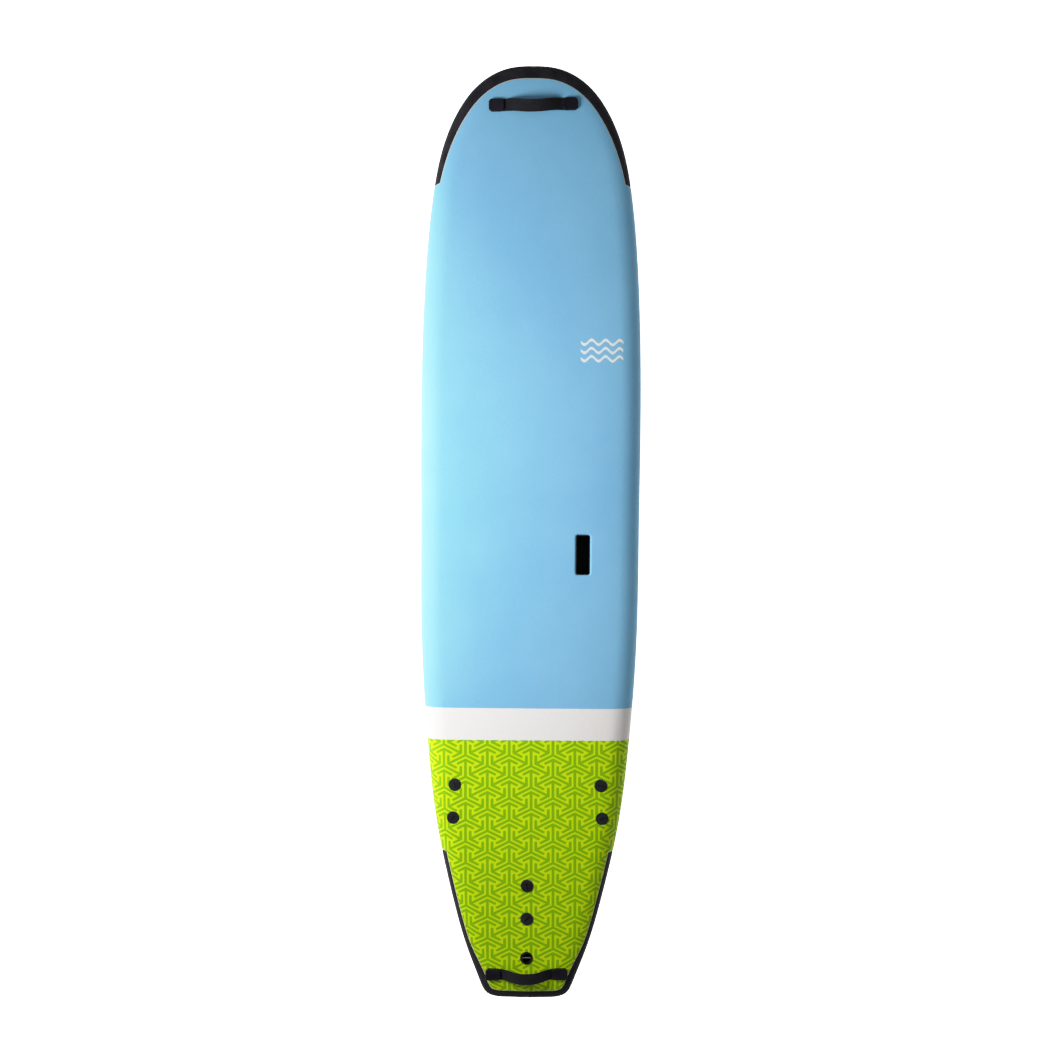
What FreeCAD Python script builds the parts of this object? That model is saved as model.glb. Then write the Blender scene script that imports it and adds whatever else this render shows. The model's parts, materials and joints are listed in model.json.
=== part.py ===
import FreeCAD, Part
import math
import os

from FreeCAD import Placement, Rotation, Vector

os.makedirs("parts", exist_ok=True)

# Soft-top longboard, lying deck up on its three fins.
# Row frame: +Y runs to the nose, +X to the right of someone standing on the deck and facing
# the nose, +Z is up. The origin is under mid-length, level with the lowest fin tip.
# The model is drawn with z = 0 on the bottom at mid-length, and lifted once at the end.
# All lengths are millimetres.

# ---- overall size ----
LENGTH = 2743.0
HALF = LENGTH / 2
THICK_MID = 94.0
THICK_TIP = 38.0
THICK_POWER = 3.0
NOSE_ROCKER = 112.0
NOSE_ROCKER_POWER = 2.6
TAIL_ROCKER = 48.0
TAIL_ROCKER_POWER = 2.3
APEX_SHARE = 0.43

# Half of the plan outline, from the nose tip round the right rail to the tail: (x, y).
OUTLINE = [
    (0, HALF), (68, HALF - 5.5), (127, HALF - 28.5), (181, HALF - 72.5), (219.5, 1246),
    (258.5, 1162), (296, 992), (319, 730), (328, 410), (326, 30), (320, -342), (301, -610),
    (267, -876), (227, -1054), (175, -1231), (140, -1319), (131.5, 32.5 - HALF),
    (118, 14 - HALF), (98, 5 - HALF), (50, 1.2 - HALF), (0, -HALF),
]
STATION_STEP = 38.0
END_STATION = 10.0
HALF_COLUMNS = 12
SMOOTH_STEP = 30.0

# ---- rail and deck roll ----
DECK_ROLL = 62.0
DECK_CROWN = 165.0
CROWN_SHARE = 0.2
BOTTOM_ROLL = 58.0

# ---- shells ----
SKIN_TOP = 5.0
SKIN_SIDE = 5.0
SKIN_BOTTOM = 3.0
BOTTOM_EDGE = 24.0
STRINGER_X = 70.0
STRINGER_THICK = 5.0
NOSE_BUMPER_END = 1045.0
NOSE_BUMPER_TIP = 40.0
NOSE_BUMPER_TAPER = 17.0
TAIL_BUMPER_END = -941.0
TAIL_BUMPER_WIDTH = 23.0
TAIL_BUMPER_TAPER = 14.5
TAIL_WIDENS_FROM = -1190.0
TAIL_WIDENS_TO = -1310.0
# Each bumper's ends are cut on a slant: ahead of its stated end at the middle line, behind it at the rail.
SLANT_AHEAD = 56.0
SLANT_BEHIND = 140.0
SIDE_STEPS = 12
TALL = 400.0
# How far a cutting or trimmed shape runs past the surface it meets.
OVERRUN = 20.0
TOUCH = 0.01

# ---- fins, fin bolts ----
BOLT_SPACING = 98.0
TOE_IN = 2.8
SIDE_FIN = (217.4, -784.8)
CENTRE_FIN_Y = -1081.4
FIN_CANT = 5.0
FIN_DEPTH = 116.0
FIN_BASE = 132.0
FIN_TIP_CHORD = 26.0
FIN_RAKE = 74.0
FIN_THICK = 9.0
FIN_WIDEST = 12
FIN_ROOT_UP = 24.0
FIN_LEVELS = 7
CHORD_POWER = 1.25
RAKE_POWER = 1.7
TIP_THINNING = 0.72
BOSS_R = 6.0
BOSS_HIGH = 24.0
BOSS_ROOT = 6.0
BORE_FLOOR = 3.0
SLEEVE_BORE = 6.3
SLEEVE_R = 8.0
FLANGE_R = 18.6
FLANGE_THICK = 2.0
SEAT_DROP = 1.2
WASHER_THICK = 1.0
WASHER_R = 15.0
WASHER_PLAY = 0.3
HEAD_R = 18.0
HEAD_RIM = 2.6
HEAD_DOME = 1.2
SLOT_LONG = 18.0
SLOT_WIDE = 3.4
SLOT_DEEP = 2.4
SHANK_R = 3.0
INSERT_BORE = 3.05
INSERT_R = 4.5
INSERT_LONG = 14.0
THREAD_HELD = 11.0
# How far each coin slot is turned from fore and aft, as the screws came to rest.
SLOT_ANGLES = {
    "left_front": 20.0, "left_rear": -40.0, "right_front": 85.0, "right_rear": -62.0,
    "centre_front": 8.0, "centre_rear": -38.0,
}

# ---- carry handle cup ----
CUP_X = 157.0
CUP_Y = -56.0
CUP_WIDE = 41.0
CUP_LONG = 118.0
CUP_DEEP = 42.0
CUP_WALL = 2.5
CUP_CORNER = 6.0
CUP_SUNK = 4.0
GRIP_REACH = 16.0
GRIP_LIP = 15.0

# ---- leash plug ----
PLUG_Y = -1247.0
PLUG_R = 18.3
PLUG_RIM = 2.5
PLUG_BODY_R = 15.0
PLUG_BORE_R = 12.5
PLUG_DEEP = 18.0
PLUG_BODY_DEEP = 21.0
PLUG_PROUD = 1.0
PIN_R = 2.6
PIN_DROP = 4.5
PIN_END_GAP = 0.4

# ---- strap handles ----
STRAP_THICK = 2.6
STRAP_LIFT = 0.3
STRAP_PLAY = 0.2
STRAP_END_GAP = 1.0
SLOPE_RUN = 20.0
CAP_HIGH = 8.5
CAP_ROOT = 6.0
CAP_WALL = 2.0
CAP_ROUND = 3.0
SCREW_HEAD_R = 4.6
SCREW_HEAD_HIGH = 2.2
SCREW_PLAY = 0.5
SCREW_R = 2.0
SCREW_LONG = 19.0
SCREW_HOLE_PLAY = 0.1
RECESS_LONG = 5.0
RECESS_WIDE = 1.2
ANCHOR_R = 7.0
ANCHOR_DEEP = 24.0
ANCHOR_UP = 8.0
SCREW_BORE_FLOOR = 4.0
NOSE_HANDLE = {
    "y": 1255.0, "span": 84.6, "total": 260.0, "width": 34.4, "cap": 36.4, "bow": 24.0,
    "lean": 19.0, "skew": 1.5, "grip": 49.0, "corner": 11.0,
}
TAIL_HANDLE = {
    "y": -1294.0, "span": 75.4, "total": 242.5, "width": 32.0, "cap": 34.0, "bow": 28.0,
    "lean": 12.0, "skew": 0.6, "grip": 42.0, "corner": 10.0,
}

Z = Vector(0, 0, 1)


# ---------------------------------------------------------------- plan outline

def half_outline(points, side=1):
    """A smooth edge between the nose tip and the tail, square to the middle line at both ends."""
    reached = [0.0]
    for before, after in zip(points, points[1:]):
        reached.append(reached[-1] + before.distanceToPoint(after))
    curve = Part.BSplineCurve()
    curve.interpolate(
        Points=points, Parameters=reached,
        InitialTangent=Vector(side, 0, 0), FinalTangent=Vector(-side, 0, 0), Scale=False,
    )
    return curve.toShape()


def right_edge():
    """Half of the outline, from the nose tip round the right side to the tail."""
    return half_outline([Vector(x, y, 0) for x, y in OUTLINE])


def parameters_along(edge, shares):
    """The edge's parameters at shares of its length."""
    return [
        edge.getParameterByLength(share * edge.Length) if share < 1 else edge.LastParameter
        for share in shares
    ]


def inset_points(edge, inset, step=SMOOTH_STEP):
    """Points along an edge, moved inward by inset, which is a length or a rule of the point."""
    rule = inset if callable(inset) else lambda point: inset
    count = int(edge.Length / step)
    points = []
    for where in parameters_along(edge, [i / count for i in range(count + 1)]):
        point = edge.valueAt(where)
        along = edge.tangentAt(where)
        inward = Vector(along.y, -along.x, 0).normalize()
        points.append(point + inward * rule(point))
    return points


def inset_edge(edge, inset):
    """The same half outline, drawn inset millimetres further in."""
    return half_outline(inset_points(edge, inset))


def swept(wire, path):
    """The wire's inside, swept both ways along path."""
    face = Part.Face(wire)
    face.translate(-path)
    return face.extrude(path * 2)


def prism(wire):
    return swept(wire, Z * TALL)


def outline_prism(points):
    """All that lies inside a half outline and its mirror image, seen from above."""
    others = [Vector(-point.x, point.y, 0) for point in points[::-1]]
    return prism(Part.Wire([half_outline(points, 1), half_outline(others, -1)]))


# ---------------------------------------------------------------- hull surface

def rocker(y):
    """Height of the bottom's middle line."""
    if y > 0:
        return NOSE_ROCKER * (y / HALF) ** NOSE_ROCKER_POWER
    return TAIL_ROCKER * (-y / HALF) ** TAIL_ROCKER_POWER


def thickness(y):
    return THICK_MID - (THICK_MID - THICK_TIP) * abs(y / HALF) ** THICK_POWER


def quarter_round(t):
    """Height of a unit quarter circle, t from its outer end, then level."""
    inner = 1 - min(t, 1)
    return math.sqrt(1 - inner * inner)


def deck_roll(depth):
    """Share of the deck's rise that is reached depth in from the outline."""
    rail = quarter_round(depth / DECK_ROLL)
    crown = quarter_round(depth / DECK_CROWN)
    return (1 - CROWN_SHARE) * rail + CROWN_SHARE * crown


def apex_height(y):
    return rocker(y) + APEX_SHARE * thickness(y)


def distance_in(edge, x, y):
    """How far inside the half outline the point lies."""
    return edge.distToShape(Part.Vertex(abs(x), y, 0))[0]


def deck_height(edge, x, y, inset=0.0):
    rise = (1 - APEX_SHARE) * thickness(y) - inset
    return apex_height(y) + rise * deck_roll(distance_in(edge, x, y))


def bottom_height(edge, x, y, inset=0.0):
    drop = APEX_SHARE * thickness(y) - inset
    return apex_height(y) - drop * quarter_round(distance_in(edge, x, y) / BOTTOM_ROLL)


def curve_poles(points, parameters):
    curve = Part.BSplineCurve()
    curve.interpolate(Points=points, Parameters=parameters)
    return curve


def surface_through(rows, across, along):
    """A smooth surface through a grid of points, with the same spacing in every row."""
    row_curves = [curve_poles(row, across) for row in rows]
    columns = zip(*[curve.getPoles() for curve in row_curves])
    column_curves = [curve_poles(list(column), along) for column in columns]
    poles = [curve.getPoles() for curve in column_curves]
    surface = Part.BSplineSurface()
    surface.buildFromPolesMultsKnots(
        poles,
        row_curves[0].getMultiplicities(), column_curves[0].getMultiplicities(),
        row_curves[0].getKnots(), column_curves[0].getKnots(),
        False, False, row_curves[0].Degree, column_curves[0].Degree,
    )
    return surface


def cap_face(first, second):
    return Part.Face(Part.Wire([first, second]))


def hull(edge, top_inset=0.0, bottom_inset=0.0):
    """The board's whole form inside a half outline: deck and bottom surfaces, closed."""
    count = int(edge.Length / STATION_STEP)
    stops = [END_STATION]
    stops += [edge.Length * i / count for i in range(1, count)]
    stops += [edge.Length - END_STATION]
    along = [stop / edge.Length for stop in stops]
    rims = [edge.valueAt(where) for where in parameters_along(edge, along)]
    turns = [i / HALF_COLUMNS for i in range(-HALF_COLUMNS, HALF_COLUMNS + 1)]
    across = [(turn + 1) / 2 for turn in turns]
    decks, bottoms = [], []
    for rim in rims:
        xs = [rim.x * math.sin(turn * math.pi / 2) for turn in turns[HALF_COLUMNS:]]
        deck = [Vector(x, rim.y, deck_height(edge, x, rim.y, top_inset)) for x in xs]
        low = [Vector(x, rim.y, bottom_height(edge, x, rim.y, bottom_inset)) for x in xs]
        deck[-1] = Vector(rim.x, rim.y, apex_height(rim.y))
        low[-1] = deck[-1]
        decks.append([Vector(-p.x, p.y, p.z) for p in deck[:0:-1]] + deck)
        bottoms.append([Vector(-p.x, p.y, p.z) for p in low[:0:-1]] + low)
    deck = surface_through(decks, across, along)
    bottom = surface_through(bottoms, across, along)
    faces = [deck.toShape(), bottom.toShape()]
    for stop in (along[0], along[-1]):
        faces.append(cap_face(deck.vIso(stop).toShape(), bottom.vIso(stop).toShape()))
    shell = Part.makeShell(faces)
    shell.sewShape()
    solid = Part.makeSolid(Part.Shell(shell.Faces))
    if solid.Volume < 0:
        solid.reverse()
    return solid


# ---------------------------------------------------------------- skins and core

def bumper_zone(edge, width, y_end, sign):
    """All that lies less than width inside the outline, from y_end to the end on the side sign."""
    near = y_end + SLANT_AHEAD * sign
    far = y_end - SLANT_BEHIND * sign
    end = 2 * LENGTH * sign
    corners = [
        Vector(0, near, 0), Vector(2 * TALL, far, 0), Vector(2 * TALL, end, 0),
        Vector(-2 * TALL, end, 0), Vector(-2 * TALL, far, 0), Vector(0, near, 0),
    ]
    return prism(Part.makePolygon(corners)).cut(outline_prism(inset_points(edge, width)))


def nose_bumper_width(point):
    """The nose bumper narrows from the tip towards its two ends."""
    share = (HALF - point.y) / (HALF - NOSE_BUMPER_END)
    return NOSE_BUMPER_TIP + (NOSE_BUMPER_TAPER - NOSE_BUMPER_TIP) * min(share, 1)


def tail_bumper_width(point):
    """The tail bumper is narrow along the rails, and widens smoothly towards the corners."""
    share = (point.y - TAIL_WIDENS_FROM) / (TAIL_WIDENS_TO - TAIL_WIDENS_FROM)
    share = max(0, min(share, 1))
    smooth = share * share * (3 - 2 * share)
    return TAIL_BUMPER_TAPER + (TAIL_BUMPER_WIDTH - TAIL_BUMPER_TAPER) * smooth


def slab(x, width):
    box = Part.makeBox(width, 2 * LENGTH, 2 * TALL)
    box.translate(Vector(x - width / 2, -LENGTH, -TALL))
    return box


# ---------------------------------------------------------------- fins

def fin_section(chord, back, thick, z):
    """A lens-shaped foil section: leading edge at +Y."""
    front = Vector(0, chord / 2 - back, z)
    rear = Vector(0, -chord / 2 - back, z)
    widest = chord / FIN_WIDEST - back
    right = Part.Arc(front, Vector(thick / 2, widest, z), rear).toShape()
    left = Part.Arc(rear, Vector(-thick / 2, widest, z), front).toShape()
    return Part.Wire([right, left])


def fin_blade():
    """A raked fin blade that hangs from z = 0, run on a little above it."""
    sections = [fin_section(FIN_BASE, 0, FIN_THICK, FIN_ROOT_UP)]
    for i in range(FIN_LEVELS):
        share = i / (FIN_LEVELS - 1)
        chord = FIN_BASE + (FIN_TIP_CHORD - FIN_BASE) * share ** CHORD_POWER
        back = FIN_RAKE * share ** RAKE_POWER
        thick = FIN_THICK * (1 - TIP_THINNING * share)
        sections.append(fin_section(chord, back, thick, -FIN_DEPTH * share))
    return Part.makeLoft(sections, True, False)


def tube(outer_r, inner_r, height, base):
    solid = Part.makeCylinder(outer_r, height, base)
    return solid.cut(Part.makeCylinder(inner_r, height, base))


class FinSeat:
    """Where one fin stands, and the heights of its two bolts."""

    def __init__(self, edge, x, y, toe, cant):
        self.turn = Rotation(Z, toe)
        self.middle = Vector(x, y, bottom_height(edge, x, y))
        self.cant = cant
        self.bolts = []
        for ahead in (BOLT_SPACING / 2, -BOLT_SPACING / 2):
            spot = self.middle + self.turn.multVec(Vector(0, ahead, 0))
            deck = min(
                deck_height(edge, spot.x + dx, spot.y + dy)
                for dx, dy in ((0, 0), (FLANGE_R, 0), (-FLANGE_R, 0), (0, FLANGE_R), (0, -FLANGE_R))
            )
            low = bottom_height(edge, spot.x, spot.y)
            self.bolts.append((spot.x, spot.y, low, deck - SEAT_DROP))

    def fin(self, outer):
        """The fin with its two bosses, which stand up into the board."""
        blade = fin_blade()
        blade.Placement = Placement(Vector(0, 0, 0), Rotation(Vector(0, 1, 0), self.cant))
        blade.Placement = Placement(self.middle, self.turn).multiply(blade.Placement)
        blade = blade.cut(outer)
        for x, y, low, _ in self.bolts:
            root = Vector(x, y, low - BOSS_ROOT)
            blade = blade.fuse(Part.makeCylinder(BOSS_R, BOSS_HIGH + BOSS_ROOT, root))
        for x, y, low, _ in self.bolts:
            seat = Vector(x, y, low + BOSS_HIGH - INSERT_LONG)
            floor = Vector(x, y, low + BORE_FLOOR)
            blade = blade.cut(Part.makeCylinder(INSERT_R, INSERT_LONG, seat))
            blade = blade.cut(Part.makeCylinder(INSERT_BORE, BOSS_HIGH - BORE_FLOOR, floor))
        return blade


def fin_bolt(x, y, low, seat, angle):
    """A long screw with a broad, low-domed disc head and a coin slot."""
    under = seat + WASHER_THICK
    rim = Part.makeCylinder(HEAD_R, HEAD_RIM, Vector(x, y, under))
    dome_r = (HEAD_R ** 2 + HEAD_DOME ** 2) / (2 * HEAD_DOME)
    top = under + HEAD_RIM + HEAD_DOME
    dome = Part.makeSphere(dome_r, Vector(x, y, top - dome_r))
    above = Part.makeCylinder(HEAD_R, HEAD_DOME, Vector(x, y, under + HEAD_RIM))
    slot = Part.makeBox(SLOT_WIDE, SLOT_LONG, SLOT_DEEP)
    slot.translate(Vector(-SLOT_WIDE / 2, -SLOT_LONG / 2, 0))
    slot.Placement = Placement(Vector(x, y, top - SLOT_DEEP), Rotation(Z, angle)).multiply(
        slot.Placement
    )
    foot = low + BOSS_HIGH - THREAD_HELD
    shank = Part.makeCylinder(SHANK_R, under - foot, Vector(x, y, foot))
    return rim.fuse(above.common(dome)).fuse(shank).removeSplitter().cut(slot)


def bolt_washer(x, y, seat):
    return tube(WASHER_R, SHANK_R + WASHER_PLAY, WASHER_THICK, Vector(x, y, seat))


def bolt_sleeve(x, y, low, seat, outer):
    """The tube that lines the hole through the board, with a broad flange under the washer."""
    below = Vector(x, y, low - OVERRUN)
    barrel = Part.makeCylinder(SLEEVE_R, seat - low + OVERRUN, below).common(outer)
    flange = Part.makeCylinder(FLANGE_R, FLANGE_THICK, Vector(x, y, seat - FLANGE_THICK))
    bore = Part.makeCylinder(SLEEVE_BORE, seat - low + 2 * OVERRUN, below)
    return barrel.fuse(flange).removeSplitter().cut(bore)


def sleeve_hole(x, y, low, seat):
    through = Part.makeCylinder(SLEEVE_R, seat - low + 2 * OVERRUN, Vector(x, y, low - OVERRUN))
    seat_hole = Part.makeCylinder(FLANGE_R, 2 * OVERRUN, Vector(x, y, seat - FLANGE_THICK))
    return through.fuse(seat_hole)


# ---------------------------------------------------------------- recessed fittings

def rounded_box(wide, long, high, corner, centre, bottom):
    """A box with rounded upright corners, centred on centre in plan."""
    box = Part.makeBox(wide, long, high, Vector(centre.x - wide / 2, centre.y - long / 2, bottom))
    upright = [e for e in box.Edges if abs(e.tangentAt(e.FirstParameter).z) > 0.9]
    return box.makeFillet(corner, upright)


def cup_solid(floor, top, wall):
    """The hand hole's space, grown by wall: a slot, with a finger hold under its right lip."""
    centre = Vector(CUP_X, CUP_Y, 0)
    wide, long = CUP_WIDE + 2 * wall - 2 * CUP_WALL, CUP_LONG + 2 * wall - 2 * CUP_WALL
    corner = CUP_CORNER + wall - CUP_WALL
    slot = rounded_box(wide, long, top - floor + wall, corner, centre, floor - wall)
    hold_centre = centre + Vector(GRIP_REACH / 2, 0, 0)
    hold_high = CUP_DEEP - GRIP_LIP + 2 * wall
    hold = rounded_box(wide + GRIP_REACH, long, hold_high, corner, hold_centre, floor - wall)
    return slot.fuse(hold)


def leash_plug(rim_z):
    """The leash plug's cup, under a flat rim."""
    base = Vector(0, PLUG_Y, rim_z)
    rim = Part.makeCylinder(PLUG_R, PLUG_RIM, base - Z * PLUG_RIM)
    body = Part.makeCylinder(PLUG_BODY_R, PLUG_BODY_DEEP, base - Z * PLUG_BODY_DEEP)
    bore = Part.makeCylinder(PLUG_BORE_R, PLUG_DEEP, base - Z * PLUG_DEEP)
    return rim.fuse(body).removeSplitter().cut(bore)


def plug_hole(rim_z):
    """The leash plug's outside, open to above the deck."""
    base = Vector(0, PLUG_Y, rim_z)
    rim = Part.makeCylinder(PLUG_R, PLUG_RIM + TALL, base - Z * PLUG_RIM)
    return rim.fuse(Part.makeCylinder(PLUG_BODY_R, PLUG_BODY_DEEP, base - Z * PLUG_BODY_DEEP))


def leash_pin(rim_z):
    reach = PLUG_BODY_R - PIN_END_GAP
    start = Vector(-reach, PLUG_Y, rim_z - PIN_DROP - PIN_R)
    return Part.makeCylinder(PIN_R, 2 * reach, start, Vector(1, 0, 0))


# ---------------------------------------------------------------- strap handles

class Handle:
    """A flexible strap handle, drawn in its own frame on the deck: X across, Z off the deck."""

    def __init__(self, edge, size):
        self.size = size
        y = size["y"]
        near, far = deck_height(edge, 0, y - SLOPE_RUN), deck_height(edge, 0, y + SLOPE_RUN)
        slope = math.degrees(math.atan2(far - near, 2 * SLOPE_RUN))
        turn = Rotation(Vector(1, 0, 0), slope).multiply(Rotation(Z, size["skew"]))
        self.place = Placement(Vector(0, y, deck_height(edge, 0, y)), turn)
        self.reach = (size["span"] + size["total"] / 2) / 2
        span, bow = size["span"], size["bow"]
        self.radius = (span ** 2 + bow ** 2) / (2 * bow)
        self.base = STRAP_THICK / 2 + STRAP_LIFT

    def placed(self, shape):
        shape.Placement = self.place.multiply(shape.Placement)
        return shape

    def arch_point(self, angle, offset):
        """A point of the upright arch, angle round from its top, offset off its middle line."""
        radius = self.radius + offset
        centre_z = self.base + self.size["bow"] - self.radius
        return Vector(radius * math.sin(angle), 0, centre_z + radius * math.cos(angle))

    def leaning(self, point, across, lean):
        """The point moved across the strap, then leant over about the line through its ends."""
        turn = Rotation(Vector(1, 0, 0), lean)
        pivot = Vector(0, 0, self.base)
        return turn.multVec(point + Vector(0, across, 0) - pivot) + pivot

    def strap_grip(self):
        """The raised middle of the strap."""
        end = math.asin(self.size["grip"] / self.radius)
        half = STRAP_THICK / 2
        upper = [self.arch_point(a, half) for a in (-end, 0, end)]
        lower = [self.arch_point(a, -half) for a in (end, 0, -end)]
        wire = Part.Wire([
            Part.Arc(*upper).toShape(), Part.makeLine(upper[-1], lower[0]),
            Part.Arc(*lower).toShape(), Part.makeLine(lower[-1], upper[0]),
        ])
        width = self.size["width"]
        face = Part.Face(wire)
        face.translate(Vector(0, -width / 2, 0))
        solid = face.extrude(Vector(0, width, 0))
        solid.rotate(Vector(0, 0, self.base), Vector(1, 0, 0), self.size["lean"])
        return self.placed(solid)

    def section(self, angle, lean, side):
        half, wide = STRAP_THICK / 2, self.size["width"] / 2
        ring = []
        for offset, across in ((half, -wide), (half, wide), (-half, wide), (-half, -wide)):
            point = self.leaning(self.arch_point(angle * side, offset), across, lean)
            ring.append(point)
        return Part.makePolygon(ring + ring[:1])

    def strap_leg(self, side):
        """The strap between its cap and the raised middle, twisted into the middle's lean."""
        end = math.asin(self.size["grip"] / self.radius)
        mouth = math.asin(self.size["span"] / self.radius)
        lean = self.size["lean"]
        half, wide = STRAP_THICK / 2, self.size["width"] / 2
        span = self.size["span"] * side
        flat = [
            Vector(span, -wide, self.base + half), Vector(span, wide, self.base + half),
            Vector(span, wide, self.base - half), Vector(span, -wide, self.base - half),
        ]
        middle = self.section((end + mouth) / 2, lean / 2, side)
        sections = [Part.makePolygon(flat + flat[:1]), middle, self.section(end, lean, side)]
        return self.placed(Part.makeLoft(sections, True, True))

    def strap_end(self, side, outer):
        """The strap's flat end under its cap, with the screw hole."""
        long = self.size["total"] / 2 - self.size["span"] - CAP_WALL - STRAP_END_GAP
        wide = self.size["width"]
        start = self.size["span"] if side > 0 else -self.size["span"] - long
        high = self.base + STRAP_THICK / 2
        box = Part.makeBox(long, wide, high + CAP_ROOT, Vector(start, -wide / 2, -CAP_ROOT))
        centre = Vector(self.reach * side, 0, -OVERRUN)
        hole = Part.makeCylinder(SCREW_R + SCREW_HOLE_PLAY, 2 * OVERRUN, centre)
        return self.placed(box.cut(hole)).cut(outer)

    def cap(self, side, outer):
        """A moulded cap over the strap's end, open towards the strap."""
        size = self.size
        long, wide = size["total"] / 2 - size["span"], size["cap"]
        centre = Vector(self.reach * side, 0, 0)
        body = rounded_box(long, wide, CAP_HIGH + CAP_ROOT, size["corner"], centre, -CAP_ROOT)
        rim = [e for e in body.Edges if min(v.Z for v in e.Vertexes) > CAP_HIGH - TOUCH]
        body = body.makeFillet(CAP_ROUND, rim)
        high = self.base + STRAP_THICK / 2
        start = centre.x - long / 2 + (CAP_WALL if side < 0 else 0)
        room_wide = size["width"] + 2 * STRAP_PLAY
        room_low = Vector(start, -room_wide / 2, -OVERRUN)
        room = Part.makeBox(long - CAP_WALL, room_wide, high + OVERRUN + STRAP_PLAY, room_low)
        head_r, head_high = SCREW_HEAD_R + SCREW_PLAY, SCREW_HEAD_HIGH + SCREW_PLAY
        head = Part.makeCylinder(head_r, head_high, centre + Z * high)
        return self.placed(body.cut(room).cut(head)).cut(outer)

    def screw(self, side):
        """A pan-head screw through the strap's end into its anchor."""
        centre = Vector(self.reach * side, 0, self.base + STRAP_THICK / 2)
        head = Part.makeCylinder(SCREW_HEAD_R, SCREW_HEAD_HIGH, centre)
        shank = Part.makeCylinder(SCREW_R, SCREW_LONG, centre - Z * SCREW_LONG)
        corner = Vector(-RECESS_WIDE / 2, -RECESS_LONG / 2, SCREW_HEAD_HIGH - RECESS_WIDE)
        recess = Part.makeBox(RECESS_WIDE, RECESS_LONG, RECESS_WIDE, centre + corner)
        return self.placed(head.fuse(shank).cut(recess))

    def anchor(self, side, outer):
        """A moulded plug, glued into the foam, that the screw bites in."""
        centre = Vector(self.reach * side, 0, -ANCHOR_DEEP)
        body = Part.makeCylinder(ANCHOR_R, ANCHOR_DEEP + ANCHOR_UP, centre)
        bore = Part.makeCylinder(SCREW_R, ANCHOR_DEEP + ANCHOR_UP, centre + Z * SCREW_BORE_FLOOR)
        return self.placed(body.cut(bore)).common(outer)

    def anchor_hole(self, side):
        centre = Vector(self.reach * side, 0, -ANCHOR_DEEP)
        return self.placed(Part.makeCylinder(ANCHOR_R, ANCHOR_DEEP + ANCHOR_UP, centre))


# ---------------------------------------------------------------- the whole board

def make_shells(edge, outer, core, holes):
    """The foam core in three lengths, its two stringers, the skins and the two bumpers."""
    nodes = {}
    drilled = core.cut(holes)
    gap = STRINGER_THICK
    middle = 2 * STRINGER_X - gap
    nodes["core_centre"] = drilled.common(slab(0, middle))
    for side, name in ((-1, "left"), (1, "right")):
        nodes["stringer_" + name] = drilled.common(slab(side * STRINGER_X, gap))
        inner = STRINGER_X + gap / 2
        nodes["core_" + name] = drilled.common(slab(side * (inner + TALL), 2 * TALL))
    shell = outer.cut(core).cut(holes)
    nose = bumper_zone(edge, nose_bumper_width, NOSE_BUMPER_END, 1)
    tail = bumper_zone(edge, tail_bumper_width, TAIL_BUMPER_END, -1)
    nodes["nose_bumper"] = shell.common(nose)
    nodes["tail_bumper"] = shell.common(tail)
    shell = shell.cut([nose, tail])
    return nodes, shell


def make_deck_and_bottom(edge, shell):
    """The bottom sheet stops short of the rails, and the deck foam wraps round to meet it."""
    inside = outline_prism(inset_points(edge, BOTTOM_EDGE))
    side = [
        Vector(0, HALF * i / SIDE_STEPS, apex_height(HALF * i / SIDE_STEPS))
        for i in range(-SIDE_STEPS, SIDE_STEPS + 1)
    ]
    corners = [side[-1] + Vector(0, TALL, 0), Vector(0, HALF + TALL, -TALL)]
    corners += [Vector(0, -HALF - TALL, -TALL), side[0] - Vector(0, TALL, 0)]
    below = swept(Part.makePolygon(side + corners + side[:1]), Vector(TALL, 0, 0)).common(inside)
    return {"bottom_skin": shell.common(below), "deck_skin": shell.cut(below)}


def make_fins(seats, outer):
    """Three fins, the parts that hold them, and the six screws."""
    nodes = {}
    sleeves, inserts = [], []
    for place, seat in seats.items():
        nodes["fin_" + place] = seat.fin(outer)
        for (x, y, low, top), end in zip(seat.bolts, ("front", "rear")):
            sleeves.append(bolt_sleeve(x, y, low, top, outer))
            foot = low + BOSS_HIGH - INSERT_LONG
            inserts.append(tube(INSERT_R, INSERT_BORE, INSERT_LONG, Vector(x, y, foot)))
            name = place + "_" + end
            nodes["fin_bolt_" + name] = fin_bolt(x, y, low, top, SLOT_ANGLES[name])
            nodes["fin_washer_" + name] = bolt_washer(x, y, top)
    nodes["fin_bolt_sleeves"] = Part.makeCompound(sleeves)
    nodes["fin_thread_inserts"] = Part.makeCompound(inserts)
    return nodes


def make_handle(name, handle, outer):
    """One strap handle: strap, end caps, screws and anchors."""
    nodes = {name + "_strap_grip": handle.strap_grip()}
    screws, anchors = [], []
    for side, word in ((-1, "left"), (1, "right")):
        nodes[name + "_strap_leg_" + word] = handle.strap_leg(side)
        nodes[name + "_strap_end_" + word] = handle.strap_end(side, outer)
        nodes[name + "_cap_" + word] = handle.cap(side, outer)
        screws.append(handle.screw(side))
        anchors.append(handle.anchor(side, outer))
    nodes[name + "_strap_screws"] = Part.makeCompound(screws)
    nodes[name + "_strap_anchors"] = Part.makeCompound(anchors)
    return nodes


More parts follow.
